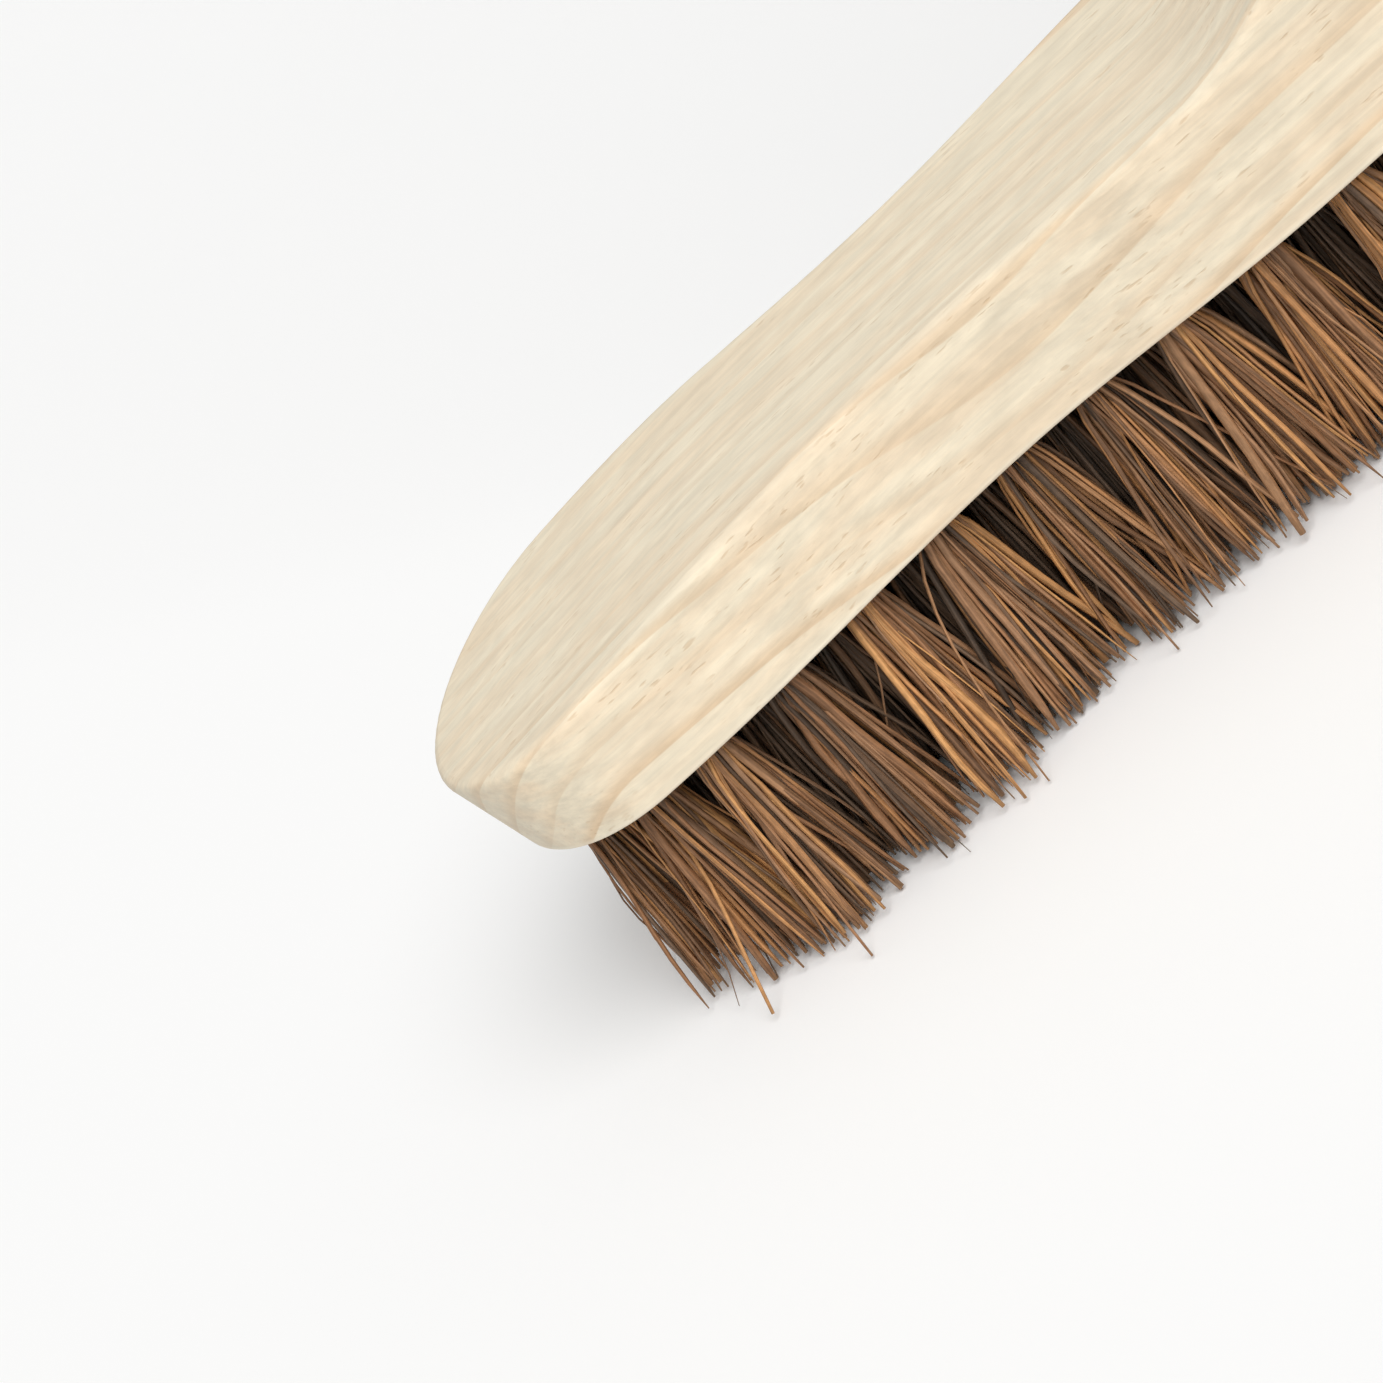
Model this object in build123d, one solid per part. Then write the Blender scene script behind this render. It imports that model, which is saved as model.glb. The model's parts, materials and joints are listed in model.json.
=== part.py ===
from build123d import *
import os
from math import cos, pi, radians, sin, tan

# Push broom: a waisted wooden head with five rows of stiff natural-fibre tufts,
# and a round wooden handle that screws into a raised hub in the middle of the head.
# Millimetres. The origin is the centre of the patch where the fibre tips meet the floor,
# +Z is up, +X runs along the head, and the handle leans back towards +Y.

# ---- head, in plan ----
HEAD_LENGTH = 457.2
LOBE_HALF_WIDTH = 35.5
WAIST_HALF_WIDTH = 28.0
HUB_HALF_WIDTH = 34.0
LOBE_ROUNDING = 35.5
WAIST_X = 105.0
HUB_X = 40.0

# ---- head, in height above its underside ----
TIP_THICKNESS = 20.2
TAPER_THICKNESS = 25.4
TAPER_X = 188.6
LOBE_THICKNESS = 28.8
LOBE_X = 148.0
NECK_THICKNESS = 31.0
NECK_X = 48.0
HUB_THICKNESS = 44.0
TIP_SLOPE = 0.14
TAPER_SLOPE = 0.105
NECK_SLOPE = 0.03
TOP_EDGE_RADIUS = 2.2
UNDERSIDE_EDGE_RADIUS = 0.8
END_LEAN_DEG = 8.5
SIDE_DRAFT_DEG = 1.4

# ---- tufts ----
TRIM = 45.0
TUFT_HOLE_RADIUS = 4.0
TUFT_HOLE_DEPTH = 13.0
TUFT_ROOT_RADIUS = 3.8
TUFT_SPLAY_DEG = 3.2
TUFT_OVERLENGTH = 4.5
TUFT_PITCH = 18.4
OUTER_ROW_COUNT = 21
INNER_ROW_COUNT = 20
CENTRE_ROW_COUNT = 23
OUTER_ROW_INSET = 7.5
OUTER_ROW_ENDS = ((199.0, 21.5), (212.0, 9.0))
INNER_ROW_ENDS = ((191.5, 10.5),)
INNER_ROW_SHARE = 0.5
END_FLARE_DEG = 6.0
END_FLARE_STARTS_X = 150.0
SIDE_FLARE_DEG = 4.5

# ---- flat wire anchors that hold the folded fibres in their holes ----
ANCHOR_WIDTH = 7.6
ANCHOR_THICKNESS = 0.6
ANCHOR_HEIGHT = 2.0
ANCHOR_GAP = 0.1

# ---- handle joint ----
HANDLE_TILT_DEG = 30.0
SEAT_HEIGHT = 38.0
SEAT_Y = 5.0
SEAT_RADIUS = 13.5
THREAD_RADIUS = 9.525
THREAD_LENGTH = 20.0
THREAD_CLEARANCE = 0.075
THREAD_HOLE_DEPTH = 21.5
THREAD_CHAMFER = 1.2
DRILL_OVERRUN = 1.0

# ---- handle ----
HANDLE_LENGTH = 1500.0
POLE_RADIUS = 12.0
POLE_END_ROUNDING = 3.0
SPIGOT_RADIUS = 10.8
SPIGOT_GAP = 0.3
CUP_CLEARANCE = 0.05
CUP_RADIUS = 12.6
CUP_FLOOR = 3.0
CUP_DEPTH = 38.0
CRIMP_RADIUS = 1.2
CRIMP_DEPTH = 0.5
CRIMP_HEIGHTS = (16.3, 31.5)
CAP_WALL = 1.8
CAP_GRIP = 30.0
CAP_CROWN = 4.0
CAP_EDGE_RADIUS = 1.5
TAB_LENGTH = 24.0
TAB_WIDTH = 20.0
TAB_CORNER_RADIUS = 9.99
TAB_THICKNESS = 7.0
HANG_HOLE_RADIUS = 4.5

HALF_LENGTH = HEAD_LENGTH / 2
UNDERSIDE_Z = TRIM
TILT = radians(HANDLE_TILT_DEG)
HANDLE_AXIS = Vector(0, sin(TILT), cos(TILT))
SEAT_POINT = Vector(0, SEAT_Y, UNDERSIDE_Z + SEAT_HEIGHT)
CUP_TOP = CUP_FLOOR + CUP_DEPTH
CAP_TOP = HANDLE_LENGTH - TAB_LENGTH
POLE_TOP = CAP_TOP - CAP_CROWN


def handle_plane(distance):
    """Plane square to the handle, at a distance up the handle from its seat on the hub."""
    return Plane(SEAT_POINT + HANDLE_AXIS * distance, x_dir=(1, 0, 0), z_dir=HANDLE_AXIS)


def plan_outline(height):
    """Plan outline of the head at a height above the underside, with its end lean and side draft."""
    widen = height * tan(radians(SIDE_DRAFT_DEG))
    lengthen = (height - TIP_THICKNESS) * tan(radians(END_LEAN_DEG))
    lobe_x = HALF_LENGTH - LOBE_ROUNDING
    end_length = LOBE_ROUNDING + lengthen
    stations = [
        (lobe_x, LOBE_HALF_WIDTH + widen),
        (WAIST_X, WAIST_HALF_WIDTH + widen),
        (HUB_X, HUB_HALF_WIDTH + widen),
    ]
    stations += [(-x, y) for x, y in reversed(stations)]
    side = Spline(stations, tangents=[(-1, 0)] * len(stations))
    end = EllipticalCenterArc((lobe_x, 0), end_length, stations[0][1], start_angle=-90, arc_size=180)
    outline = make_face(Curve() + [end, side, mirror(end, Plane.YZ), mirror(side, Plane.XZ)])
    return Pos(0, 0, UNDERSIDE_Z + height) * outline


def side_profile():
    """Side view of the head: a flat underside, ends that thin out and a hub that swells in the middle."""
    reach = HALF_LENGTH + TUFT_PITCH
    end_z = TIP_THICKNESS - (reach - HALF_LENGTH) * TIP_SLOPE
    stations = [(reach, end_z), (TAPER_X, TAPER_THICKNESS), (LOBE_X, LOBE_THICKNESS), (NECK_X, NECK_THICKNESS)]
    slopes = [TIP_SLOPE, TAPER_SLOPE, NECK_SLOPE, NECK_SLOPE]
    points = stations + [(0, HUB_THICKNESS)] + [(-x, z) for x, z in reversed(stations)]
    tangents = [(-1, slope) for slope in slopes] + [(-1, 0)] + [(-1, -slope) for slope in reversed(slopes)]
    top = Spline(points, tangents=tangents)
    return make_face(Curve() + [top, Polyline(points[-1], (-reach, 0), (reach, 0), points[0])])


def head_blank():
    """The shaped wooden head before any hole is drilled."""
    body = loft([plan_outline(0), plan_outline(HUB_THICKNESS + TOP_EDGE_RADIUS)], ruled=True)
    back = Plane(origin=(0, 2 * LOBE_HALF_WIDTH, UNDERSIDE_Z), x_dir=(1, 0, 0), z_dir=(0, -1, 0))
    body = body & extrude(back * side_profile(), amount=4 * LOBE_HALF_WIDTH)
    top_face = body.faces().sort_by(Axis.Z)[-1]
    body = fillet(top_face.outer_wire().edges(), TOP_EDGE_RADIUS)
    underside = body.faces().sort_by(Axis.Z)[0]
    return fillet(underside.outer_wire().edges(), UNDERSIDE_EDGE_RADIUS)


def half_width(x):
    """Half the width of the head at a distance along it, for placing the rows."""
    x = abs(x)
    lobe_x = HALF_LENGTH - LOBE_ROUNDING
    if x > lobe_x:
        return LOBE_HALF_WIDTH
    if x > WAIST_X:
        share = (lobe_x - x) / (lobe_x - WAIST_X)
        return LOBE_HALF_WIDTH + (WAIST_HALF_WIDTH - LOBE_HALF_WIDTH) * (1 - cos(pi * share)) / 2
    if x > HUB_X:
        share = (WAIST_X - x) / (WAIST_X - HUB_X)
        return WAIST_HALF_WIDTH + (HUB_HALF_WIDTH - WAIST_HALF_WIDTH) * (1 - cos(pi * share)) / 2
    return HUB_HALF_WIDTH


def row_positions(count, row_share):
    """Evenly spaced tuft places along a row that keeps its share of the outer row's distance out."""
    places = []
    for index in range(count):
        x = (index - (count - 1) / 2) * TUFT_PITCH
        places.append((x, row_share * (half_width(x) - OUTER_ROW_INSET)))
    return places


def end_positions(places, side):
    """Places of the extra tufts that carry a row round the two ends of the head."""
    return [(end * x, side * y) for end in (1, -1) for x, y in places]


def tuft_frame(x, y):
    """Plane on the underside at a tuft's mouth, with its Z pointing down along the flared tuft."""
    past = max(0.0, abs(x) - END_FLARE_STARTS_X) / (HALF_LENGTH - END_FLARE_STARTS_X)
    end_flare = tan(radians(END_FLARE_DEG)) * past * (1 if x > 0 else -1)
    side_flare = tan(radians(SIDE_FLARE_DEG)) * y / (LOBE_HALF_WIDTH - OUTER_ROW_INSET)
    down = Vector(end_flare, side_flare, -1)
    across = Vector(1, 0, end_flare).normalized()
    return Plane((x, y, UNDERSIDE_Z), x_dir=across, z_dir=down)


def tuft_hole(place):
    """Blind drilled hole for one tuft."""
    depth = TUFT_HOLE_DEPTH + TUFT_HOLE_RADIUS
    drill = Cylinder(TUFT_HOLE_RADIUS, depth)
    return tuft_frame(*place) * Pos(0, 0, depth / 2 - TUFT_HOLE_DEPTH) * drill


def tuft(place):
    """One bound tuft: a plug in its hole that splays towards the floor and is trimmed level."""
    plug_top = -(TUFT_HOLE_DEPTH - ANCHOR_HEIGHT - 2 * ANCHOR_GAP)
    reach = TRIM + TUFT_OVERLENGTH
    tip_radius = TUFT_ROOT_RADIUS + reach * tan(radians(TUFT_SPLAY_DEG))
    outline = Polyline(
        (0, plug_top), (TUFT_ROOT_RADIUS, plug_top), (TUFT_ROOT_RADIUS, 0),
        (tip_radius, reach), (0, reach), close=True,
    )
    section = Plane.XZ * make_face(outline)
    solid = tuft_frame(*place) * revolve(section, Axis.Z)
    return split(solid, Plane.XY, keep=Keep.TOP)


def anchor(place):
    """The flat wire that lies across the bottom of one tuft hole."""
    plate = Box(ANCHOR_WIDTH, ANCHOR_THICKNESS, ANCHOR_HEIGHT)
    depth = TUFT_HOLE_DEPTH - ANCHOR_GAP - ANCHOR_HEIGHT / 2
    return tuft_frame(*place) * Pos(0, 0, -depth) * plate


def handle_socket():
    """Spot face and threaded hole for the handle, cut into the hub at the handle's tilt."""
    spot_face = Cylinder(SEAT_RADIUS, HUB_THICKNESS, align=(Align.CENTER, Align.CENTER, Align.MIN))
    hole = Cylinder(
        THREAD_RADIUS + THREAD_CLEARANCE, THREAD_HOLE_DEPTH + DRILL_OVERRUN,
        align=(Align.CENTER, Align.CENTER, Align.MIN),
    )
    return handle_plane(0) * spot_face + handle_plane(-THREAD_HOLE_DEPTH) * hole


def broom_block(places):
    """The wooden head with all its tuft holes and the handle hole."""
    return head_blank() - [tuft_hole(place) for place in places] - handle_socket()


def turned(outline, distance=0.0):
    """Turned solid from a half outline given as (radius, distance up the handle)."""
    section = make_face(outline)
    return handle_plane(distance) * revolve(Plane.XZ * section, Axis.Z)


def threaded_tip():
    """Metal tip: a cup round the pole's spigot, with the threaded shank below its shoulder."""
    bore = SPIGOT_RADIUS + CUP_CLEARANCE
    outline = Polyline(
        (0, -THREAD_LENGTH), (THREAD_RADIUS - THREAD_CHAMFER, -THREAD_LENGTH),
        (THREAD_RADIUS, THREAD_CHAMFER - THREAD_LENGTH), (THREAD_RADIUS, 0),
        (CUP_RADIUS, 0), (CUP_RADIUS, CUP_TOP), (bore, CUP_TOP), (bore, CUP_FLOOR), (0, CUP_FLOOR),
        close=True,
    )
    tip = turned(outline)
    groove = Torus(CUP_RADIUS + CRIMP_RADIUS - CRIMP_DEPTH, CRIMP_RADIUS)
    for height in CRIMP_HEIGHTS:
        tip -= handle_plane(height) * groove
    return tip


def handle_pole():
    """Round wooden pole with a spigot turned on its lower end."""
    outline = Polyline(
        (0, CUP_FLOOR + SPIGOT_GAP), (SPIGOT_RADIUS, CUP_FLOOR + SPIGOT_GAP),
        (SPIGOT_RADIUS, CUP_TOP + SPIGOT_GAP), (POLE_RADIUS, CUP_TOP + SPIGOT_GAP),
        (POLE_RADIUS, POLE_TOP), (0, POLE_TOP), close=True,
    )
    pole = turned(outline)
    top_edge = pole.edges().filter_by(GeomType.CIRCLE).sort_by(Axis.Z)[-1]
    return fillet(top_edge, POLE_END_ROUNDING)


def hang_cap():
    """Moulded cap on the top of the pole, with a flat tab and a hole to hang the broom by."""
    bore = POLE_RADIUS + CUP_CLEARANCE
    cap_radius = bore + CAP_WALL
    shell = handle_plane(POLE_TOP - CAP_GRIP) * Cylinder(
        cap_radius, CAP_GRIP + CAP_CROWN, align=(Align.CENTER, Align.CENTER, Align.MIN))
    crown_edge = shell.edges().filter_by(GeomType.CIRCLE).sort_by(Axis.Z)[-1]
    shell = fillet(crown_edge, CAP_EDGE_RADIUS)
    socket = Cylinder(bore, CAP_GRIP + CUP_CLEARANCE, align=(Align.CENTER, Align.CENTER, Align.MIN))
    shell -= handle_plane(POLE_TOP - CAP_GRIP) * socket
    tab = RectangleRounded(TAB_WIDTH, 2 * TAB_LENGTH, TAB_CORNER_RADIUS)
    tab -= Pos(0, TAB_LENGTH - TAB_WIDTH / 2) * Circle(HANG_HOLE_RADIUS)
    tab = extrude(tab, amount=TAB_THICKNESS / 2, both=True)
    tab -= Pos(0, -TAB_LENGTH / 2 - CAP_EDGE_RADIUS, 0) * Box(TAB_WIDTH, TAB_LENGTH, TAB_THICKNESS)
    upright = Plane(SEAT_POINT + HANDLE_AXIS * CAP_TOP, x_dir=(1, 0, 0), z_dir=(0, -cos(TILT), sin(TILT)))
    return shell + upright * tab


def main():
    os.makedirs("parts", exist_ok=True)
    rows = {
        "tuft_row_front_outer": row_positions(OUTER_ROW_COUNT, -1.0) + end_positions(OUTER_ROW_ENDS, -1),
        "tuft_row_front_inner": row_positions(INNER_ROW_COUNT, -INNER_ROW_SHARE) + end_positions(INNER_ROW_ENDS, -1),
        "tuft_row_centre": row_positions(CENTRE_ROW_COUNT, 0.0),
        "tuft_row_back_inner": row_positions(INNER_ROW_COUNT, INNER_ROW_SHARE) + end_positions(INNER_ROW_ENDS, 1),
        "tuft_row_back_outer": row_positions(OUTER_ROW_COUNT, 1.0) + end_positions(OUTER_ROW_ENDS, 1),
    }
    places = [place for row in rows.values() for place in row]
    parts = {
        "broom_block": broom_block(places),
        "tuft_anchors": Compound(children=[anchor(place) for place in places]),
        "threaded_tip": threaded_tip(),
        "handle_pole": handle_pole(),
        "hang_cap": hang_cap(),
    }
    for name, row in rows.items():
        parts[name] = Compound(children=[tuft(place) for place in row])
    for name, shape in parts.items():
        export_step(shape, f"parts/{name}.step")
        print(name, len(shape.solids()), round(sum(solid.volume for solid in shape.solids())))


main()
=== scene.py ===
import json
import math

import bmesh
import bpy
import numpy as np
from mathutils import Matrix, Vector


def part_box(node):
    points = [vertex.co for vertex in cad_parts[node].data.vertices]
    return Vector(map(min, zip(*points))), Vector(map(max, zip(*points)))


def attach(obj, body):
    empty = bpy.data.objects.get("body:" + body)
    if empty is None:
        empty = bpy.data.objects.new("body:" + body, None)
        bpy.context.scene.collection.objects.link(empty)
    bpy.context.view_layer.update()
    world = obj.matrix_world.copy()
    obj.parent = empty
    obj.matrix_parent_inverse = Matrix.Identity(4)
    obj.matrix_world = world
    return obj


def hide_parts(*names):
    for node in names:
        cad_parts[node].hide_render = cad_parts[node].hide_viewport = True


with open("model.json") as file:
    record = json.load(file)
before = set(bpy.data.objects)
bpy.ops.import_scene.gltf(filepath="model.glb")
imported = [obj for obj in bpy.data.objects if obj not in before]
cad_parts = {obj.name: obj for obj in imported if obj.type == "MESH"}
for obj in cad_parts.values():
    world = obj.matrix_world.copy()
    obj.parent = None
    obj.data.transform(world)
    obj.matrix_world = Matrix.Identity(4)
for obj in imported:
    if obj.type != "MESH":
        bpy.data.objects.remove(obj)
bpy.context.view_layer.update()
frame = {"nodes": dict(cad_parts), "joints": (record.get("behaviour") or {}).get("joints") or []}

# Looks of the push broom: loose fibres in place of the solid tufts, a real thread on the
# handle's metal tip, and procedural wood, fibre, metal and plastic. Metres, in the CAD frame.

MM = 0.001
SEED = 20417
NEAR = 1.0 * MM
BORE_MATCH = 0.1 * MM

# ---- fibres ----
FIBRES_PER_TUFT = 80
FIBRE_RINGS = 10
FIBRE_SIDES = 5
FIBRE_WIDTH = 1.12 * MM
FIBRE_WIDTH_SPREAD = 0.36
FIBRE_THICKNESS_SHARE = 0.68
BUNDLE_RADIUS = 3.35 * MM
TIP_BUNDLE_RADIUS = 8.2 * MM
MOUTH_BULGE = 0.13
MOUTH_BULGE_REACH = 0.03
CLUMPS_PER_TUFT = 12
CLUMP_SCATTER = 2.1 * MM
TIP_SCATTER = 1.8 * MM
HAIR_SHARE = 0.08
HAIR_SCATTER = 6.5 * MM
HAIR_WIDTH_SHARE = 0.45
HAIR_WAVE_SHARE = 3.0
TUFT_SWAY = 1.1 * MM
END_LEAN_SHARE = 0.2
SIDE_LEAN_SHARE = 1.0
WAVE = 0.85 * MM
WAVE_RATES = (2.5, 5.5)
KINK = 0.16 * MM
KINK_RATES = (7.0, 13.0)
SWING_SIZES = (0.3, 1.6)
EARLY_BEND = (0.6, 1.35)
ROOT_JITTER = 0.05
TUFT_OVAL = (0.9, 1.12)
TWIST = 0.5
THICKNESS_RANGE = (0.8, 1.3)
TAPER = 0.10
TIP_TAPER = (0.15, 0.70)
TIP_TAPER_START = 0.80
TIP_TAPER_REACH = 0.20
TIP_TAPER_POWER = 1.5
KNOBBLE = 0.05
RAGGED_TRIM = 1.1 * MM
FLOOR_GAP = 0.5 * MM
ROOT_DEPTH = 5.0 * MM
# painted shade: the inner rows' fibres take darker tones, for the shade between the rows under the block
INNER_ROW_PAINTED_SHADE = 0.38
STRAND_GAP = 5.0
CLUMP_TONE_SHARE = 0.3
WELD_DISTANCE = 0.01 * MM
FLOOR_SLICE = 0.5 * MM
LINE_DIGITS = 4

# ---- fibre surface: streaks round each strand, flecks in cycles per millimetre across and up ----
STRAND_STREAKS = 1.3
FLECKS_ACROSS = 1.5
FLECKS_UP = 0.35

# ---- wood: noise cycles per millimetre, pairs along and across the grain; wander in millimetres ----
RING_WANDER = (0.006, 0.02)
FINE_STREAKS = (0.022, 0.7)
WARM_BANDS = (0.010, 0.20)
CLOUDS = (0.10, 0.24)
PORES = (0.22, 1.3)
END_GRAIN_SPECKLE = 2.4
RING_WANDER_SIZE = 15.0

# ---- growth rings: where latewood starts and ends in each ring, and how strongly rings differ ----
LATEWOOD_RISE = (0.55, 0.95)
LATEWOOD_FALL = (1.0, 0.96)
RING_CONTRAST = 0.95
FAINTEST_RING = 0.10

# ---- sockets of Blender's colour mix node ----
MIX_FIRST = 6
MIX_SECOND = 7
MIX_RESULT = 2

# ---- metal tip, with a 3/4 inch 5 tpi trapezoid thread ----
THREAD_PITCH = 5.08 * MM
THREAD_DEPTH = 1.9 * MM
THREAD_CREST_SHARE = 0.30
THREAD_FLANK_SHARE = 0.30
TURNED_STEPS = 72
TURNED_ANGLES = [math.tau * index / TURNED_STEPS for index in range(TURNED_STEPS)]
THREAD_RINGS_PER_TURN = 20
THREAD_CHAMFER = 1.4 * MM
THREAD_RELIEF = 0.8 * MM
EDGE_ROUND = 0.9 * MM
EDGE_STEPS = 6
CRIMP_HEIGHTS = (16.3 * MM, 31.5 * MM)
CRIMP_DEPTH = 0.5 * MM
CRIMP_HALF_WIDTH = 1.4 * MM
CRIMP_STEPS = 9
LIP = 0.55 * MM
LIP_ROLL = 0.08 * MM
SHARP_ANGLE = math.radians(35)

# ---- photographer's view: angles of the camera about its target on the head ----
VIEW_ELEVATION = math.radians(24.0)
VIEW_TURN = math.radians(-15.0)
VIEW_ROLL = math.radians(48.1)
VIEW_DISTANCE = 0.85
VIEW_LENS = 121.7
VIEW_SENSOR = 36.0
VIEW_CLIP_START = 0.01
TARGET_FROM_TIP = 42.2 * MM
TARGET_BELOW_WOOD = 4.2 * MM

# ---- light ----
KEY_STRENGTH = 2.42
KEY_SOFTNESS = 50
KEY_AZIMUTH = 30
KEY_ELEVATION = 52
SURROUND_FILL = 0.45
FLOOR_HALF = 30.0

block_low, block_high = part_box("broom_block")
UNDERSIDE_Z = block_low.z
HEAD_TIP_X = block_low.x
joints = {joint["name"]: joint for joint in frame["joints"]}
HANDLE_AXIS = Vector(joints["handle_turn"]["axis"]).normalized()
SHOULDER_TO_JOINT = 20.0 * MM
SHOULDER = Vector(joints["handle_turn"]["pos_m"]) - HANDLE_AXIS * SHOULDER_TO_JOINT


# ---------------------------------------------------------------- shader helpers

class Shader:
    """A material with short calls for the few node kinds used below."""

    def __init__(self, name):
        self.material = bpy.data.materials.new(name)
        self.material.use_nodes = True
        self.tree = self.material.node_tree
        self.surface = self.tree.nodes["Principled BSDF"]

    def add(self, kind, inputs=None, **settings):
        node = self.tree.nodes.new(kind)
        for name, value in settings.items():
            setattr(node, name, value)
        for key, value in (inputs or {}).items():
            self.feed(node.inputs[key], value)
        return node

    def feed(self, socket, value):
        if isinstance(value, bpy.types.NodeSocket):
            self.tree.links.new(value, socket)
        else:
            socket.default_value = value

    def maths(self, operation, first, second=0.0, third=0.0):
        inputs = {0: first, 1: second, 2: third}
        return self.add("ShaderNodeMath", inputs, operation=operation).outputs[0]

    def join(self, x, y, z):
        return self.add("ShaderNodeCombineXYZ", {0: x, 1: y, 2: z}).outputs[0]

    def split(self, vector):
        return self.add("ShaderNodeSeparateXYZ", {0: vector}).outputs

    def noise(self, vector, scale=1.0, detail=2.0, roughness=0.5):
        inputs = {"Vector": vector, "Scale": scale, "Detail": detail, "Roughness": roughness}
        return self.add("ShaderNodeTexNoise", inputs).outputs["Fac"]

    def step(self, value, low, high, out_low=0.0, out_high=1.0):
        inputs = {"Value": value, "From Min": low, "From Max": high,
                  "To Min": out_low, "To Max": out_high}
        node = self.add("ShaderNodeMapRange", inputs, interpolation_type="SMOOTHSTEP")
        return node.outputs["Result"]

    def mix(self, share, first, second, blend="MIX"):
        node = self.add("ShaderNodeMix", data_type="RGBA", blend_type=blend)
        self.feed(node.inputs["Factor"], share)
        self.feed(node.inputs[MIX_FIRST], first)
        self.feed(node.inputs[MIX_SECOND], second)
        return node.outputs[MIX_RESULT]

    def shaded(self, colour, shade):
        """A colour multiplied by a grey shade."""
        return self.mix(1.0, colour, self.join(shade, shade, shade), "MULTIPLY")

    def stretched(self, x, y, z, lengthways, sideways):
        """A place for noise that is drawn out along x."""
        return self.join(self.maths("MULTIPLY", x, lengthways), self.maths("MULTIPLY", y, sideways),
                         self.maths("MULTIPLY", z, sideways))

    def ramp(self, value, stops):
        node = self.add("ShaderNodeValToRGB", {"Fac": value})
        ramp = node.color_ramp
        while len(ramp.elements) < len(stops):
            ramp.elements.new(0.5)
        for element, (position, colour) in zip(ramp.elements, stops):
            element.position = position
            element.color = (*colour, 1.0)
        return node.outputs["Color"]

    def bump(self, height, distance, strength):
        inputs = {"Height": height, "Distance": distance, "Strength": strength}
        return self.add("ShaderNodeBump", inputs).outputs["Normal"]

    def finish(self, **channels):
        names = {"colour": "Base Color", "roughness": "Roughness", "metallic": "Metallic",
                 "normal": "Normal", "specular": "Specular IOR Level", "coat": "Coat Weight",
                 "coat_roughness": "Coat Roughness"}
        for channel, value in channels.items():
            self.feed(self.surface.inputs[names[channel]], value)
        return self.material


def object_millimetres(shader):
    """Object coordinates in millimetres, as three sockets."""
    coordinates = shader.add("ShaderNodeTexCoord").outputs["Object"]
    scaled = shader.add("ShaderNodeVectorMath", {0: coordinates, "Scale": 1 / MM}, operation="SCALE")
    return shader.split(scaled.outputs[0])


# ---------------------------------------------------------------- materials

def rgb(red, green, blue):
    return (red, green, blue, 1.0)


BLOCK_EARLYWOOD = rgb(0.82, 0.725, 0.555)
BLOCK_LATEWOOD = rgb(0.66, 0.45, 0.26)
POLE_EARLYWOOD = rgb(0.76, 0.60, 0.40)
POLE_LATEWOOD = rgb(0.60, 0.40, 0.22)
WARM_WOOD = rgb(0.80, 0.62, 0.43)
PORE_BROWN = rgb(0.52, 0.34, 0.18)
END_GRAIN_GREY = rgb(0.62, 0.57, 0.47)
# painted light: the top face greyer and duller, as the lamp shows it
TOP_PAINTED_LIGHT_GREY = rgb(0.76, 0.70, 0.56)
# partly wear, partly a painted highlight along the block's bottom edge
LOW_EDGE_WEAR_AND_HIGHLIGHT = rgb(0.86, 0.79, 0.64)
FIBRE_TIP_BROWN = rgb(0.42, 0.26, 0.14)
TIP_PLATING = rgb(0.62, 0.63, 0.64)
WIRE_PLATING = rgb(0.55, 0.55, 0.56)
CAP_BLACK = rgb(0.018, 0.019, 0.021)
CAP_RUBBED = rgb(0.042, 0.043, 0.046)
FLOOR_PALE = rgb(0.90, 0.90, 0.895)
FLOOR_PALER = rgb(0.93, 0.93, 0.925)


def growth_rings(shader, along, across, up, pith, ring_gap, first_ring):
    """Darkness of the latewood lines: rings round a wandering pith, each ring with its own strength."""
    slow = shader.stretched(along, across, up, *RING_WANDER)
    wander = shader.maths("SUBTRACT", shader.noise(slow, detail=2.0, roughness=0.4), 0.5)
    side = shader.maths("SUBTRACT", across, pith[0])
    rise = shader.maths("SUBTRACT", up, pith[1])
    side_square = shader.maths("MULTIPLY", side, side)
    squares = shader.maths("ADD", side_square, shader.maths("MULTIPLY", rise, rise))
    radius = shader.maths("MULTIPLY_ADD", wander, RING_WANDER_SIZE, shader.maths("SQRT", squares))
    ring = shader.maths("MULTIPLY_ADD", radius, 1 / ring_gap, first_ring)
    phase = shader.maths("FRACT", ring)
    rising = shader.step(phase, *LATEWOOD_RISE)
    latewood = shader.maths("MULTIPLY", rising, shader.step(phase, *LATEWOOD_FALL))
    ring_number = shader.join(shader.maths("FLOOR", ring), 0.0, 0.0)
    strength = shader.add("ShaderNodeTexWhiteNoise", {"Vector": ring_number}).outputs["Value"]
    strength = shader.maths("POWER", strength, 2.0)
    darkness = shader.maths("MULTIPLY_ADD", strength, RING_CONTRAST, FAINTEST_RING)
    return shader.maths("MULTIPLY", latewood, darkness)


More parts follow.
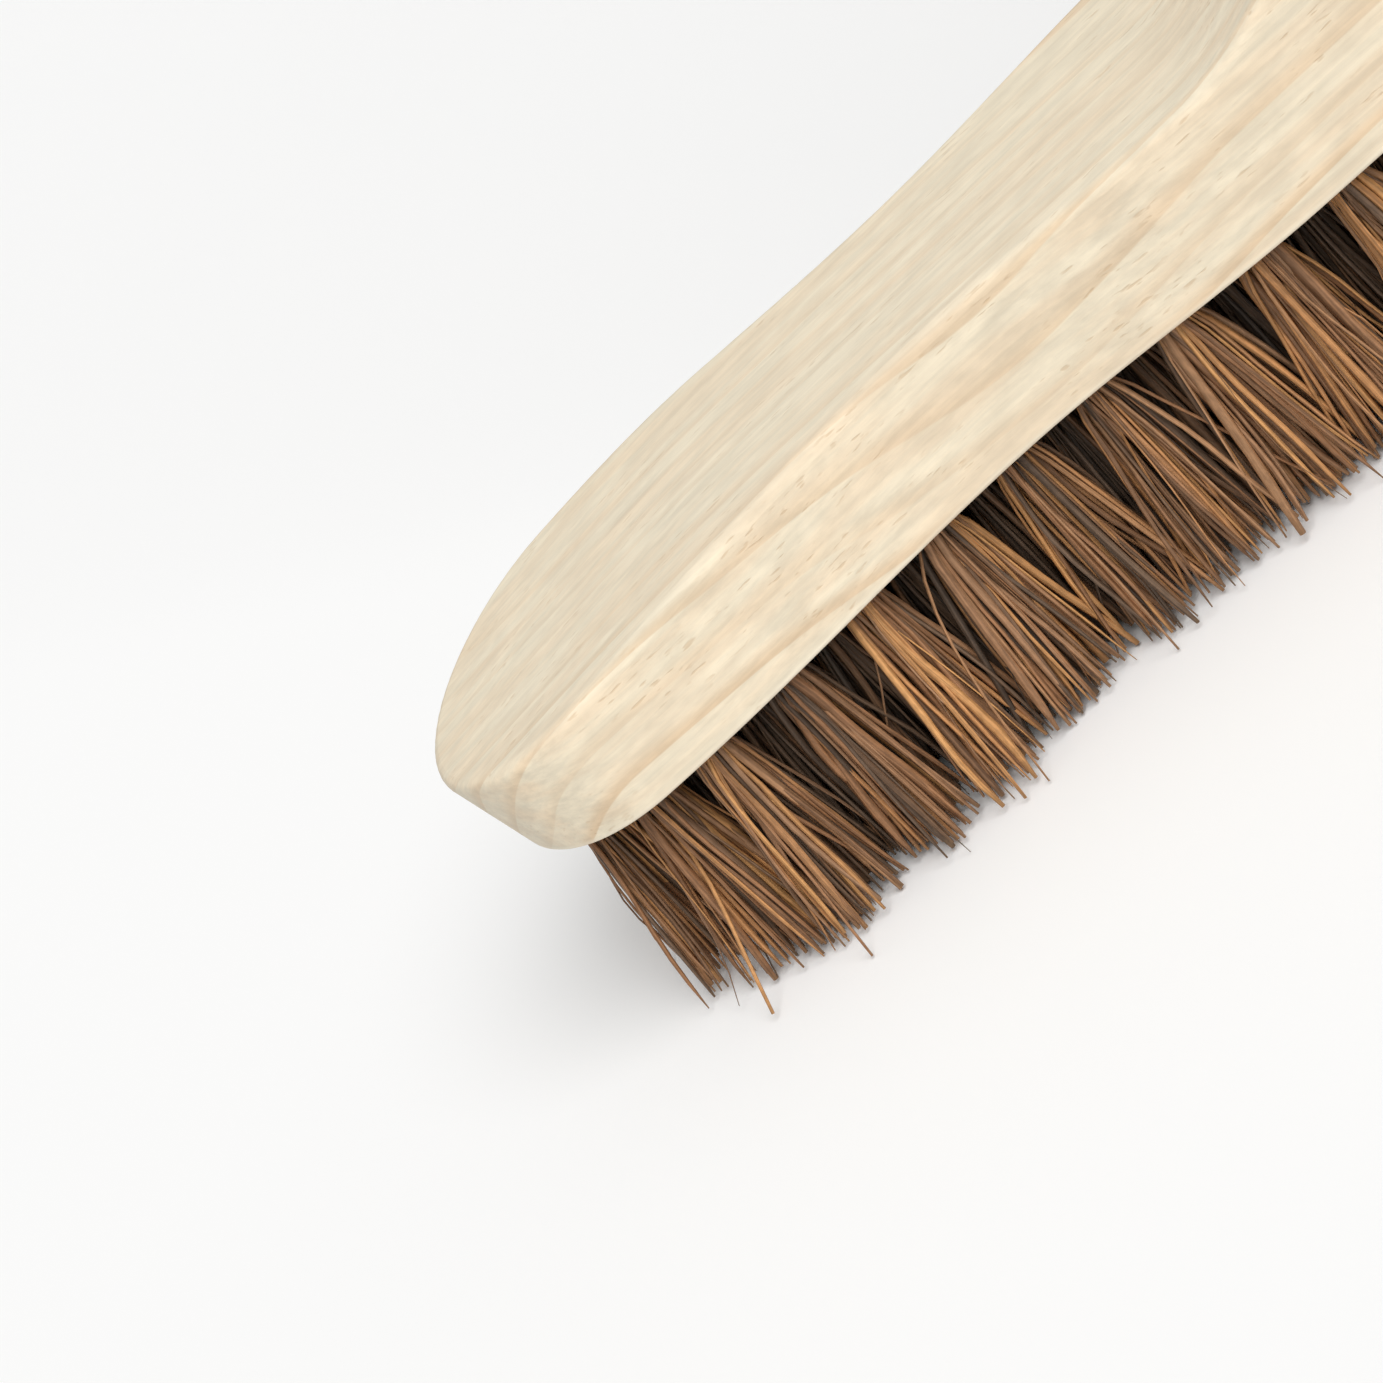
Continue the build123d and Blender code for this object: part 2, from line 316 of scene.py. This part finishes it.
def wood_grain(shader, along, across, up, pith, ring_gap, first_ring, early, late):
    """Colour, height and streaks of sawn wood: growth rings, fine streaks, warm bands, clouds and pores."""
    latewood = growth_rings(shader, along, across, up, pith, ring_gap, first_ring)
    streak_place = shader.stretched(along, across, up, *FINE_STREAKS)
    streak = shader.noise(streak_place, detail=5.0, roughness=0.65)
    band = shader.noise(shader.stretched(along, across, up, *WARM_BANDS), detail=3.0)
    cloud_place = shader.stretched(along, across, up, *CLOUDS)
    cloud = shader.noise(cloud_place, detail=3.0, roughness=0.6)
    pore_place = shader.stretched(along, across, up, *PORES)
    pore = shader.step(shader.noise(pore_place, detail=1.0), 0.62, 0.74)
    patch = shader.step(shader.noise(cloud_place, scale=0.5), 0.45, 0.60)
    pore = shader.maths("MULTIPLY", pore, patch)

    colour = shader.mix(latewood, early, late)
    warm = shader.step(band, 0.38, 0.66)
    colour = shader.mix(shader.maths("MULTIPLY", warm, 0.50), colour, WARM_WOOD)
    colour = shader.shaded(colour, shader.step(streak, 0.25, 0.75, 0.90, 1.06))
    colour = shader.shaded(colour, shader.step(cloud, 0.3, 0.7, 0.92, 1.05))
    colour = shader.mix(shader.maths("MULTIPLY", pore, 0.40), colour, PORE_BROWN)
    height = shader.maths("SUBTRACT", shader.maths("MULTIPLY_ADD", latewood, 0.3, streak),
                          shader.maths("MULTIPLY", pore, 0.8))
    return colour, height, streak


def block_wood():
    """Pale unvarnished wood with rings along the head, duller ends, a top greyed as painted light and a low
    edge paled partly by wear, partly as painted highlight.
    """
    shader = Shader("block_wood")
    x, y, z = object_millimetres(shader)
    colour, height, streak = wood_grain(
        shader, along=x, across=y, up=z, pith=(40.0, 112.0), ring_gap=5.4, first_ring=3.3,
        early=BLOCK_EARLYWOOD, late=BLOCK_LATEWOOD)
    normal = shader.split(shader.add("ShaderNodeNewGeometry").outputs["Normal"])
    end_grain = shader.step(shader.maths("ABSOLUTE", normal[0]), 0.45, 0.9)
    end_place = shader.join(0.0, shader.maths("MULTIPLY", y, END_GRAIN_SPECKLE),
                            shader.maths("MULTIPLY", z, END_GRAIN_SPECKLE))
    dull = shader.shaded(colour, shader.step(shader.noise(end_place, detail=3.0), 0.3, 0.7, 0.96, 1.0))
    dull = shader.mix(0.35, dull, END_GRAIN_GREY)
    colour = shader.mix(end_grain, colour, dull)
    # painted light: flat top faces are greyed, for how the lamp falls on them
    painted_top_light = shader.step(normal[2], 0.55, 0.95)
    colour = shader.mix(shader.maths("MULTIPLY", painted_top_light, 0.25), colour, TOP_PAINTED_LIGHT_GREY)
    # the bottom edge is paler, partly as wear, partly as a painted highlight where the edge catches the
    # light
    underside = UNDERSIDE_Z / MM
    low_edge_wear_and_highlight = shader.step(z, underside + 1.6, underside + 0.5)
    colour = shader.mix(shader.maths("MULTIPLY", low_edge_wear_and_highlight, 0.5), colour, LOW_EDGE_WEAR_AND_HIGHLIGHT)
    roughness = shader.step(streak, 0.2, 0.8, 0.55, 0.72)
    return shader.finish(colour=colour, roughness=roughness, specular=0.28,
                         normal=shader.bump(height, distance=0.12 * MM, strength=0.5))


def up_the_handle(shader, y, z):
    """Distance along the handle's axis, which leans in the YZ plane."""
    return shader.maths("ADD", shader.maths("MULTIPLY", y, HANDLE_AXIS.y),
                        shader.maths("MULTIPLY", z, HANDLE_AXIS.z))


def handle_wood():
    """Clear-lacquered pole with its grain along its length."""
    shader = Shader("handle_wood")
    x, y, z = object_millimetres(shader)
    along = up_the_handle(shader, y, z)
    across = shader.maths("SUBTRACT", shader.maths("MULTIPLY", y, HANDLE_AXIS.z),
                          shader.maths("MULTIPLY", z, HANDLE_AXIS.y))
    colour, height, streak = wood_grain(
        shader, along=along, across=x, up=across, pith=(60.0, 25.0), ring_gap=5.0, first_ring=0.0,
        early=POLE_EARLYWOOD, late=POLE_LATEWOOD)
    roughness = shader.step(streak, 0.2, 0.8, 0.30, 0.42)
    return shader.finish(colour=colour, roughness=roughness, coat=0.25, coat_roughness=0.18,
                         normal=shader.bump(height, distance=0.08 * MM, strength=0.35))


def stiff_fibre():
    """Coarse leaf-stalk fibre: each fibre has its own tone, with ridges and streaks along it; painted shade
    darkens the inner rows' tones and each fibre towards its root.
    """
    shader = Shader("stiff_fibre")
    tone = shader.add("ShaderNodeAttribute", attribute_name="tone").outputs["Fac"]
    along = shader.add("ShaderNodeAttribute", attribute_name="along").outputs["Fac"]
    strand = shader.split(shader.add("ShaderNodeAttribute", attribute_name="strand").outputs["Vector"])
    streak_place = shader.join(shader.maths("MULTIPLY", strand[0], STRAND_STREAKS),
                               shader.maths("MULTIPLY", strand[1], STRAND_STREAKS), strand[2])
    streak = shader.noise(streak_place, detail=3.0, roughness=0.65)
    x, y, z = object_millimetres(shader)
    fleck_place = shader.join(shader.maths("MULTIPLY", x, FLECKS_ACROSS),
                              shader.maths("MULTIPLY", y, FLECKS_ACROSS),
                              shader.maths("MULTIPLY", z, FLECKS_UP))
    fleck = shader.noise(fleck_place, detail=2.0)
    # the inner rows' tones, scaled down as painted shade, fall on the darkest stops
    colour = shader.ramp(tone, [
        (0.0, (0.064, 0.049, 0.038)),
        (0.22, (0.150, 0.092, 0.056)),
        (0.42, (0.335, 0.162, 0.074)),
        (0.56, (0.350, 0.195, 0.105)),
        (0.70, (0.495, 0.238, 0.094)),
        (0.90, (0.600, 0.310, 0.118)),
    ])
    shade = shader.maths("MULTIPLY", shader.step(streak, 0.32, 0.68, 0.64, 1.28),
                         shader.step(fleck, 0.3, 0.7, 0.85, 1.12))
    colour = shader.shaded(colour, shade)
    # painted shade: every fibre darker towards its root, for the shade under the block
    colour = shader.shaded(colour, shader.step(along, 0.05, 0.5, 0.66, 1.0))
    tip = shader.step(along, 0.95, 1.0)
    colour = shader.mix(shader.maths("MULTIPLY", tip, 0.30), colour, FIBRE_TIP_BROWN)
    roughness = shader.step(streak, 0.3, 0.7, 0.62, 0.42)
    return shader.finish(colour=colour, roughness=roughness, specular=0.30,
                         normal=shader.bump(streak, distance=0.12 * MM, strength=0.8))


def plated_metal(name, colour, roughness):
    """Satin plated steel with fine rings round the handle's axis and faint blotches in the plating."""
    shader = Shader(name)
    x, y, z = object_millimetres(shader)
    along = up_the_handle(shader, y, z)
    rings = shader.noise(shader.join(along, 0.0, 0.0), scale=9.0, detail=4.0)
    blotch = shader.noise(shader.join(x, y, z), scale=0.16, detail=3.0)
    shade = shader.step(blotch, 0.3, 0.7, 0.94, 1.02)
    tint = shader.shaded(colour, shade)
    rough = shader.maths("ADD", shader.step(blotch, 0.3, 0.7, roughness - 0.03, roughness + 0.04),
                         shader.maths("MULTIPLY", rings, 0.06))
    return shader.finish(colour=tint, metallic=1.0, roughness=rough,
                         normal=shader.bump(rings, distance=0.03 * MM, strength=0.5))


def cap_plastic():
    """Black moulded plastic with a fine spark-eroded grain and rubbed patches."""
    shader = Shader("cap_plastic")
    x, y, z = object_millimetres(shader)
    place = shader.join(x, y, z)
    grain = shader.noise(place, scale=3.4, detail=3.0, roughness=0.65)
    rub = shader.step(shader.noise(place, scale=0.12, detail=3.0), 0.45, 0.7)
    colour = shader.mix(rub, CAP_BLACK, CAP_RUBBED)
    roughness = shader.maths("MULTIPLY_ADD", rub, -0.12, shader.step(grain, 0.3, 0.7, 0.48, 0.60))
    return shader.finish(colour=colour, roughness=roughness, specular=0.45,
                         normal=shader.bump(grain, distance=0.06 * MM, strength=0.45))


def floor_paint():
    """Pale, plain floor with a barely visible unevenness in its colour."""
    shader = Shader("floor_paint")
    coordinates = shader.add("ShaderNodeTexCoord").outputs["Object"]
    cloud = shader.noise(coordinates, scale=1.3, detail=3.0)
    colour = shader.mix(cloud, FLOOR_PALE, FLOOR_PALER)
    return shader.finish(colour=colour, roughness=0.8, specular=0.15)


# ---------------------------------------------------------------- fibres

def tuft_lines(node):
    """(top centre, floor centre) of every tuft in a CAD row, read from the row's own solids."""
    mesh = bmesh.new()
    mesh.from_mesh(frame["nodes"][node].data)
    bmesh.ops.remove_doubles(mesh, verts=mesh.verts, dist=WELD_DISTANCE)
    lines = []
    unseen = set(mesh.verts)
    while unseen:
        waiting = [unseen.pop()]
        island = []
        while waiting:
            vertex = waiting.pop()
            island.append(vertex.co.copy())
            for edge in vertex.link_edges:
                other = edge.other_vert(vertex)
                if other in unseen:
                    unseen.remove(other)
                    waiting.append(other)
        highest = max(point.z for point in island)
        top = [point for point in island if point.z > highest - NEAR]
        floor = [point for point in island if point.z < FLOOR_SLICE]
        lines.append((sum(top, Vector()) / len(top), sum(floor, Vector()) / len(floor)))
    mesh.free()
    return sorted(lines, key=lambda line: (round(line[0].x, LINE_DIGITS), round(line[0].y, LINE_DIGITS)))


def disc_points(random, count, radius):
    """Evenly packed, jittered points in a disc."""
    index = np.arange(count) + 0.5
    distance = radius * np.sqrt(index / count)
    angle = index * math.pi * (1 + math.sqrt(5)) + random.uniform(0, math.tau)
    jitter = random.normal(0, radius * ROOT_JITTER, (count, 2))
    return np.stack([distance * np.cos(angle), distance * np.sin(angle)], axis=1) + jitter


def swing(random, below, size, rates):
    """Sideways wave along a fibre, zero at the hole's mouth, in a random direction."""
    start = random.uniform(0, math.tau)
    wave = np.sin(below * random.uniform(*rates) + start) - math.sin(start)
    way = random.uniform(0, math.tau)
    return (size * random.uniform(*SWING_SIZES) * wave)[:, None] * np.array([math.cos(way), math.sin(way)])


def fibre_path(random, root, slope, sweep, length, wave_share):
    """Centre line of one fibre, along its hole's slope inside the wood, then out to its tip."""
    share = np.linspace(0, 1, FIBRE_RINGS)
    start = -ROOT_DEPTH / length
    t = start + (1 - start) * share
    early = random.uniform(*EARLY_BEND)
    below = np.clip(t, 0, None)
    bulge = MOUTH_BULGE * (1 - np.exp(-below / MOUTH_BULGE_REACH))
    bend = bulge + (1 - MOUTH_BULGE) * (early * below + (1 - early) * below ** 2)
    offset = swing(random, below, WAVE * wave_share, WAVE_RATES) + swing(random, below, KINK, KINK_RATES)
    inside = np.clip(-t, 0, None)[:, None] * length * slope
    path = np.empty((FIBRE_RINGS, 3))
    path[:, :2] = root + inside + bend[:, None] * sweep + offset
    path[:, 2] = UNDERSIDE_Z - t * length
    return path


def fibre_rings(random, path, width_share):
    """Cross-sections along a fibre: flat, gently twisted, thinner towards the tip."""
    tangent = np.gradient(path, axis=0)
    tangent /= np.linalg.norm(tangent, axis=1)[:, None]
    spin = random.uniform(0, math.tau) + np.linspace(0, random.normal(0, TWIST), len(path))
    flat = np.stack([np.cos(spin), np.sin(spin), np.zeros(len(path))], axis=1)
    flat -= (flat * tangent).sum(axis=1)[:, None] * tangent
    flat /= np.linalg.norm(flat, axis=1)[:, None]
    edge = np.cross(tangent, flat)
    width = FIBRE_WIDTH * width_share * math.exp(random.normal(0, FIBRE_WIDTH_SPREAD))
    thickness = width * FIBRE_THICKNESS_SHARE * random.uniform(*THICKNESS_RANGE)
    share = np.linspace(0, 1, len(path))
    near_tip = np.clip((share - TIP_TAPER_START) / TIP_TAPER_REACH, 0, 1) ** TIP_TAPER_POWER
    taper = 1 - TAPER * share - random.uniform(*TIP_TAPER) * near_tip
    knobble = 1 + random.normal(0, KNOBBLE, len(path))
    scale = taper * knobble
    angle = np.arange(FIBRE_SIDES) / FIBRE_SIDES * math.tau
    wide = np.cos(angle)[None, :, None] * (scale * width / 2)[:, None, None] * flat[:, None, :]
    deep = np.sin(angle)[None, :, None] * (scale * thickness / 2)[:, None, None] * edge[:, None, :]
    return path[:, None, :] + wide + deep


def tuft_fibres(random, top, floor, painted_shade_scale):
    """Fibres of one tuft, as (rings, tone) pairs that leave the hole together and splay below it; the tone
    carries the row's painted shade.
    """
    axis = (floor - top).normalized()
    mouth = top + axis * ((UNDERSIDE_Z - top.z) / axis.z)
    slope = np.array([axis.x, axis.y]) / axis.z
    lean = np.array([END_LEAN_SHARE * (floor.x - mouth.x), SIDE_LEAN_SHARE * (floor.y - mouth.y)])
    lean += random.normal(0, TUFT_SWAY, 2)
    oval = random.uniform(*TUFT_OVAL)
    spread = (TIP_BUNDLE_RADIUS / BUNDLE_RADIUS - 1) * np.array([oval, 1 / oval])
    roots = disc_points(random, FIBRES_PER_TUFT, BUNDLE_RADIUS)
    clump_places = disc_points(random, CLUMPS_PER_TUFT, BUNDLE_RADIUS)
    clump_sways = random.normal(0, CLUMP_SCATTER, (CLUMPS_PER_TUFT, 2))
    clump_tones = random.random(CLUMPS_PER_TUFT)
    fibres = []
    for root in roots:
        clump = np.argmin(((clump_places - root) ** 2).sum(axis=1))
        hair = random.random() < HAIR_SHARE
        scatter = HAIR_SCATTER if hair else TIP_SCATTER
        sweep = lean + root * spread + clump_sways[clump] + random.normal(0, scatter, 2)
        length = UNDERSIDE_Z - FLOOR_GAP - RAGGED_TRIM * abs(random.normal(0, 1))
        place = np.array([mouth.x, mouth.y]) + root
        path = fibre_path(random, place, slope, sweep, length, HAIR_WAVE_SHARE if hair else 1.0)
        rings = fibre_rings(random, path, HAIR_WIDTH_SHARE if hair else 1.0)
        tone = CLUMP_TONE_SHARE * clump_tones[clump] + (1 - CLUMP_TONE_SHARE) * random.random()
        fibres.append((rings, tone * painted_shade_scale))
    return fibres


def fibre_mesh(name, fibres, material):
    """One mesh of closed fibre tubes, whose points hold tone (with the inner rows' painted shade), share
    along the fibre and streak place.
    """
    ring_points = FIBRE_RINGS * FIBRE_SIDES
    points = np.concatenate([rings.reshape(-1, 3) for rings, tone in fibres])
    around = np.arange(FIBRE_SIDES)
    after = (around + 1) % FIBRE_SIDES
    walls = []
    for ring in range(FIBRE_RINGS - 1):
        base = ring * FIBRE_SIDES
        above = base + FIBRE_SIDES
        walls.append(np.stack([base + around, base + after, above + after, above + around], axis=1))
    walls = np.concatenate(walls)
    last = ring_points - FIBRE_SIDES
    faces = []
    for index in range(len(fibres)):
        offset = index * ring_points
        faces.extend((walls + offset).tolist())
        faces.append((offset + around[::-1]).tolist())
        faces.append((offset + last + around).tolist())
    mesh = bpy.data.meshes.new(name)
    mesh.from_pydata(points.tolist(), [], faces)
    tone = mesh.attributes.new("tone", "FLOAT", "POINT")
    tones = np.repeat([fibre_tone for rings, fibre_tone in fibres], ring_points)
    tone.data.foreach_set("value", tones.astype(np.float32))
    share = np.repeat(np.linspace(0, 1, FIBRE_RINGS), FIBRE_SIDES)
    along = mesh.attributes.new("along", "FLOAT", "POINT")
    along.data.foreach_set("value", np.tile(share, len(fibres)).astype(np.float32))
    angle = np.tile(around / FIBRE_SIDES * math.tau, FIBRE_RINGS)
    ring_strand = np.stack([np.cos(angle), np.sin(angle), share], axis=1)
    numbers = np.repeat(np.arange(len(fibres)), ring_points)[:, None]
    strand = np.tile(ring_strand, (len(fibres), 1)) + numbers * np.array([STRAND_GAP, 0, 0])
    place = mesh.attributes.new("strand", "FLOAT_VECTOR", "POINT")
    place.data.foreach_set("vector", strand.astype(np.float32).ravel())
    mesh.shade_smooth()
    mesh.materials.append(material)
    thing = bpy.data.objects.new(name, mesh)
    bpy.context.scene.collection.objects.link(thing)
    return thing


def fibre_rows(material):
    """Loose fibres in place of each CAD row of solid tufts."""
    rows = [node for node in sorted(frame["nodes"]) if node.startswith("tuft_row")]
    for number, row in enumerate(rows):
        random = np.random.default_rng(SEED + number)
        fibres = []
        # painted shade: inner rows darker than the outer rows
        painted_shade_scale = 1.0 if row.endswith("outer") else INNER_ROW_PAINTED_SHADE
        for top, floor in tuft_lines(row):
            fibres.extend(tuft_fibres(random, top, floor, painted_shade_scale))
        thing = fibre_mesh(row.replace("tuft_row", "fibres"), fibres, material)
        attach(thing, "head")
        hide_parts(row)


# ---------------------------------------------------------------- metal tip

def handle_point(height, radius, angle):
    """Point at a height above the metal tip's shoulder, at a radius and angle about the handle's axis."""
    side = Vector((1, 0, 0))
    other = HANDLE_AXIS.cross(side)
    across = side * (radius * math.cos(angle)) + other * (radius * math.sin(angle))
    return SHOULDER + HANDLE_AXIS * height + across


def thread_radius(height, angle, crest):
    """Trapezoid thread: radius at a height and angle, between its crest and its root."""
    phase = (height / THREAD_PITCH - angle / math.tau) % 1.0
    centred = abs(phase - 0.5) * 2
    share = min(max((centred - THREAD_CREST_SHARE) / THREAD_FLANK_SHARE, 0.0), 1.0)
    return crest - THREAD_DEPTH * share


def thread_rings(low, crest):
    """(height, radii) of the threaded shank, chamfered at its end and relieved under the shoulder."""
    rings = []
    count = int(-low / THREAD_PITCH * THREAD_RINGS_PER_TURN)
    for index in range(count + 1):
        height = low + (-low - THREAD_RELIEF) * index / count
        limit = crest - max(0.0, THREAD_CHAMFER - (height - low))
        radii = [min(thread_radius(height, angle, crest), limit) for angle in TURNED_ANGLES]
        rings.append((height, radii))
    return rings


def cup_outline(high, crest, cup, bore, floor):
    """(height, radius) outline of the cup: round shoulder, two crimps, lip, then down the open bore."""
    root = crest - THREAD_DEPTH
    outline = [(-THREAD_RELIEF, root), (0.0, root), (0.0, cup - EDGE_ROUND)]
    for step in range(1, EDGE_STEPS + 1):
        turn = math.pi / 2 * step / EDGE_STEPS
        outline.append((EDGE_ROUND * (1 - math.cos(turn)), cup - EDGE_ROUND * (1 - math.sin(turn))))
    for groove in CRIMP_HEIGHTS:
        for share in np.linspace(-1, 1, CRIMP_STEPS):
            dip = CRIMP_DEPTH * (1 + math.cos(math.pi * share)) / 2
            outline.append((groove + share * CRIMP_HALF_WIDTH, cup - dip))
    outline += [(high - LIP, cup), (high - LIP / 2, cup - LIP_ROLL), (high, cup - LIP / 2)]
    return outline + [(high, cup - LIP), (high, bore), (floor, bore)]


def lathed_tip(material):
    """Metal tip: threaded shank, shoulder and hollow crimped cup, turned about the handle's axis."""
    low, high, crest, cup, bore, floor = tip_sizes()
    rings = thread_rings(low, crest)
    for height, radius in cup_outline(high, crest, cup, bore, floor):
        rings.append((height, [radius] * TURNED_STEPS))
    mesh = bmesh.new()
    loops = []
    for height, radii in rings:
        points = [handle_point(height, radius, angle) for radius, angle in zip(radii, TURNED_ANGLES)]
        loops.append([mesh.verts.new(point) for point in points])
    for lower, upper in zip(loops, loops[1:]):
        for index in range(TURNED_STEPS):
            after = (index + 1) % TURNED_STEPS
            mesh.faces.new((lower[index], lower[after], upper[after], upper[index]))
    mesh.faces.new(loops[0][::-1])
    mesh.faces.new(loops[-1])
    bmesh.ops.recalc_face_normals(mesh, faces=mesh.faces)
    data = bpy.data.meshes.new("tip_with_thread")
    mesh.to_mesh(data)
    mesh.free()
    data.materials.append(material)
    data.shade_smooth()
    tip = bpy.data.objects.new("tip_with_thread", data)
    bpy.context.scene.collection.objects.link(tip)
    smooth_by_angle(tip)
    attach(tip, "tip")
    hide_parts("threaded_tip")


def smooth_by_angle(thing):
    """Marks the edges that turn more than the limit as sharp."""
    mesh = bmesh.new()
    mesh.from_mesh(thing.data)
    for edge in mesh.edges:
        if len(edge.link_faces) == 2 and edge.calc_face_angle() > SHARP_ANGLE:
            edge.smooth = False
    mesh.to_mesh(thing.data)
    mesh.free()


def tip_sizes():
    """Shank end, cup top, crest radius, cup radius, bore and cup floor, with heights from the shoulder."""
    places = []
    for vertex in frame["nodes"]["threaded_tip"].data.vertices:
        offset = vertex.co - SHOULDER
        height = offset.dot(HANDLE_AXIS)
        places.append((height, (offset - HANDLE_AXIS * height).length))
    low = min(height for height, radius in places)
    high = max(height for height, radius in places)
    crest = max(radius for height, radius in places if height < -NEAR)
    cup = max(radius for height, radius in places)
    bore = min(radius for height, radius in places if height > high - NEAR)
    floor = min(height for height, radius in places if height > NEAR and abs(radius - bore) < BORE_MATCH)
    return low, high, crest, cup, bore, floor


# ---------------------------------------------------------------- CAD pieces keep their shape

def dress(node, material):
    """Gives a CAD node its material; its shape stays as it is."""
    thing = frame["nodes"][node]
    thing.data.materials.clear()
    thing.data.materials.append(material)


# ---------------------------------------------------------------- stage, light and camera

def build_stage(material):
    """A large pale floor just under the fibre tips."""
    mesh = bpy.data.meshes.new("floor")
    half = FLOOR_HALF
    corners = [(-half, -half, 0), (half, -half, 0), (half, half, 0), (-half, half, 0)]
    mesh.from_pydata(corners, [], [(0, 1, 2, 3)])
    mesh.materials.append(material)
    floor = bpy.data.objects.new("floor", mesh)
    bpy.context.scene.collection.objects.link(floor)


def sun(name, azimuth, elevation, strength, softness):
    """Distant soft lamp, angles in degrees: azimuth 0 is on the -Y side and grows towards +X."""
    light = bpy.data.lights.new(name, "SUN")
    light.energy = strength
    light.angle = math.radians(softness)
    way = math.radians(azimuth)
    rise = math.radians(elevation)
    level = math.cos(rise)
    towards = Vector((math.sin(way) * level, -math.cos(way) * level, math.sin(rise)))
    lamp = bpy.data.objects.new(name, light)
    lamp.rotation_euler = towards.to_track_quat("Z", "Y").to_euler()
    bpy.context.scene.collection.objects.link(lamp)


def build_light():
    """Soft key from the front right, high up, in a white surround that lights less than it shows."""
    world = bpy.data.worlds.new("studio")
    world.use_nodes = True
    tree = world.node_tree
    background = tree.nodes["Background"]
    background.inputs["Color"].default_value = rgb(1.0, 1.0, 1.0)
    seen = tree.nodes.new("ShaderNodeLightPath")
    strength = tree.nodes.new("ShaderNodeMapRange")
    tree.links.new(seen.outputs["Is Camera Ray"], strength.inputs["Value"])
    strength.inputs["To Min"].default_value = SURROUND_FILL
    strength.inputs["To Max"].default_value = 1.0
    tree.links.new(strength.outputs["Result"], background.inputs["Strength"])
    bpy.context.scene.world = world
    sun("key", KEY_AZIMUTH, KEY_ELEVATION, KEY_STRENGTH, KEY_SOFTNESS)


def build_camera():
    """Camera at the photographer's angle, low over the near side of the head's end and rolled."""
    right = Vector((math.cos(VIEW_TURN), -math.sin(VIEW_TURN), 0))
    level = Vector((math.sin(VIEW_TURN), math.cos(VIEW_TURN), 0))
    forward = level * math.cos(VIEW_ELEVATION) - Vector((0, 0, math.sin(VIEW_ELEVATION)))
    upward = level * math.sin(VIEW_ELEVATION) + Vector((0, 0, math.cos(VIEW_ELEVATION)))
    target = Vector((HEAD_TIP_X + TARGET_FROM_TIP, 0, UNDERSIDE_Z - TARGET_BELOW_WOOD))
    camera_x = right * math.cos(VIEW_ROLL) - upward * math.sin(VIEW_ROLL)
    camera_y = right * math.sin(VIEW_ROLL) + upward * math.cos(VIEW_ROLL)
    data = bpy.data.cameras.new("camera")
    data.lens = VIEW_LENS
    data.sensor_width = VIEW_SENSOR
    data.clip_start = VIEW_CLIP_START
    camera = bpy.data.objects.new("camera", data)
    place = target - forward * VIEW_DISTANCE
    camera.matrix_world = matrix_from_axes(camera_x, camera_y, -forward, place)
    bpy.context.scene.collection.objects.link(camera)
    bpy.context.scene.camera = camera


def matrix_from_axes(x_axis, y_axis, z_axis, place):
    """World matrix with the given axes as its columns."""
    rows = [[x_axis[i], y_axis[i], z_axis[i], place[i]] for i in range(3)]
    return Matrix(rows + [[0, 0, 0, 1]])


fibre_rows(stiff_fibre())
dress("broom_block", block_wood())
dress("handle_pole", handle_wood())
lathed_tip(plated_metal("tip_metal", TIP_PLATING, 0.30))
dress("tuft_anchors", plated_metal("anchor_wire", WIRE_PLATING, 0.42))
dress("hang_cap", cap_plastic())
build_stage(floor_paint())
build_light()
build_camera()
bpy.context.scene.view_settings.view_transform = "Standard"
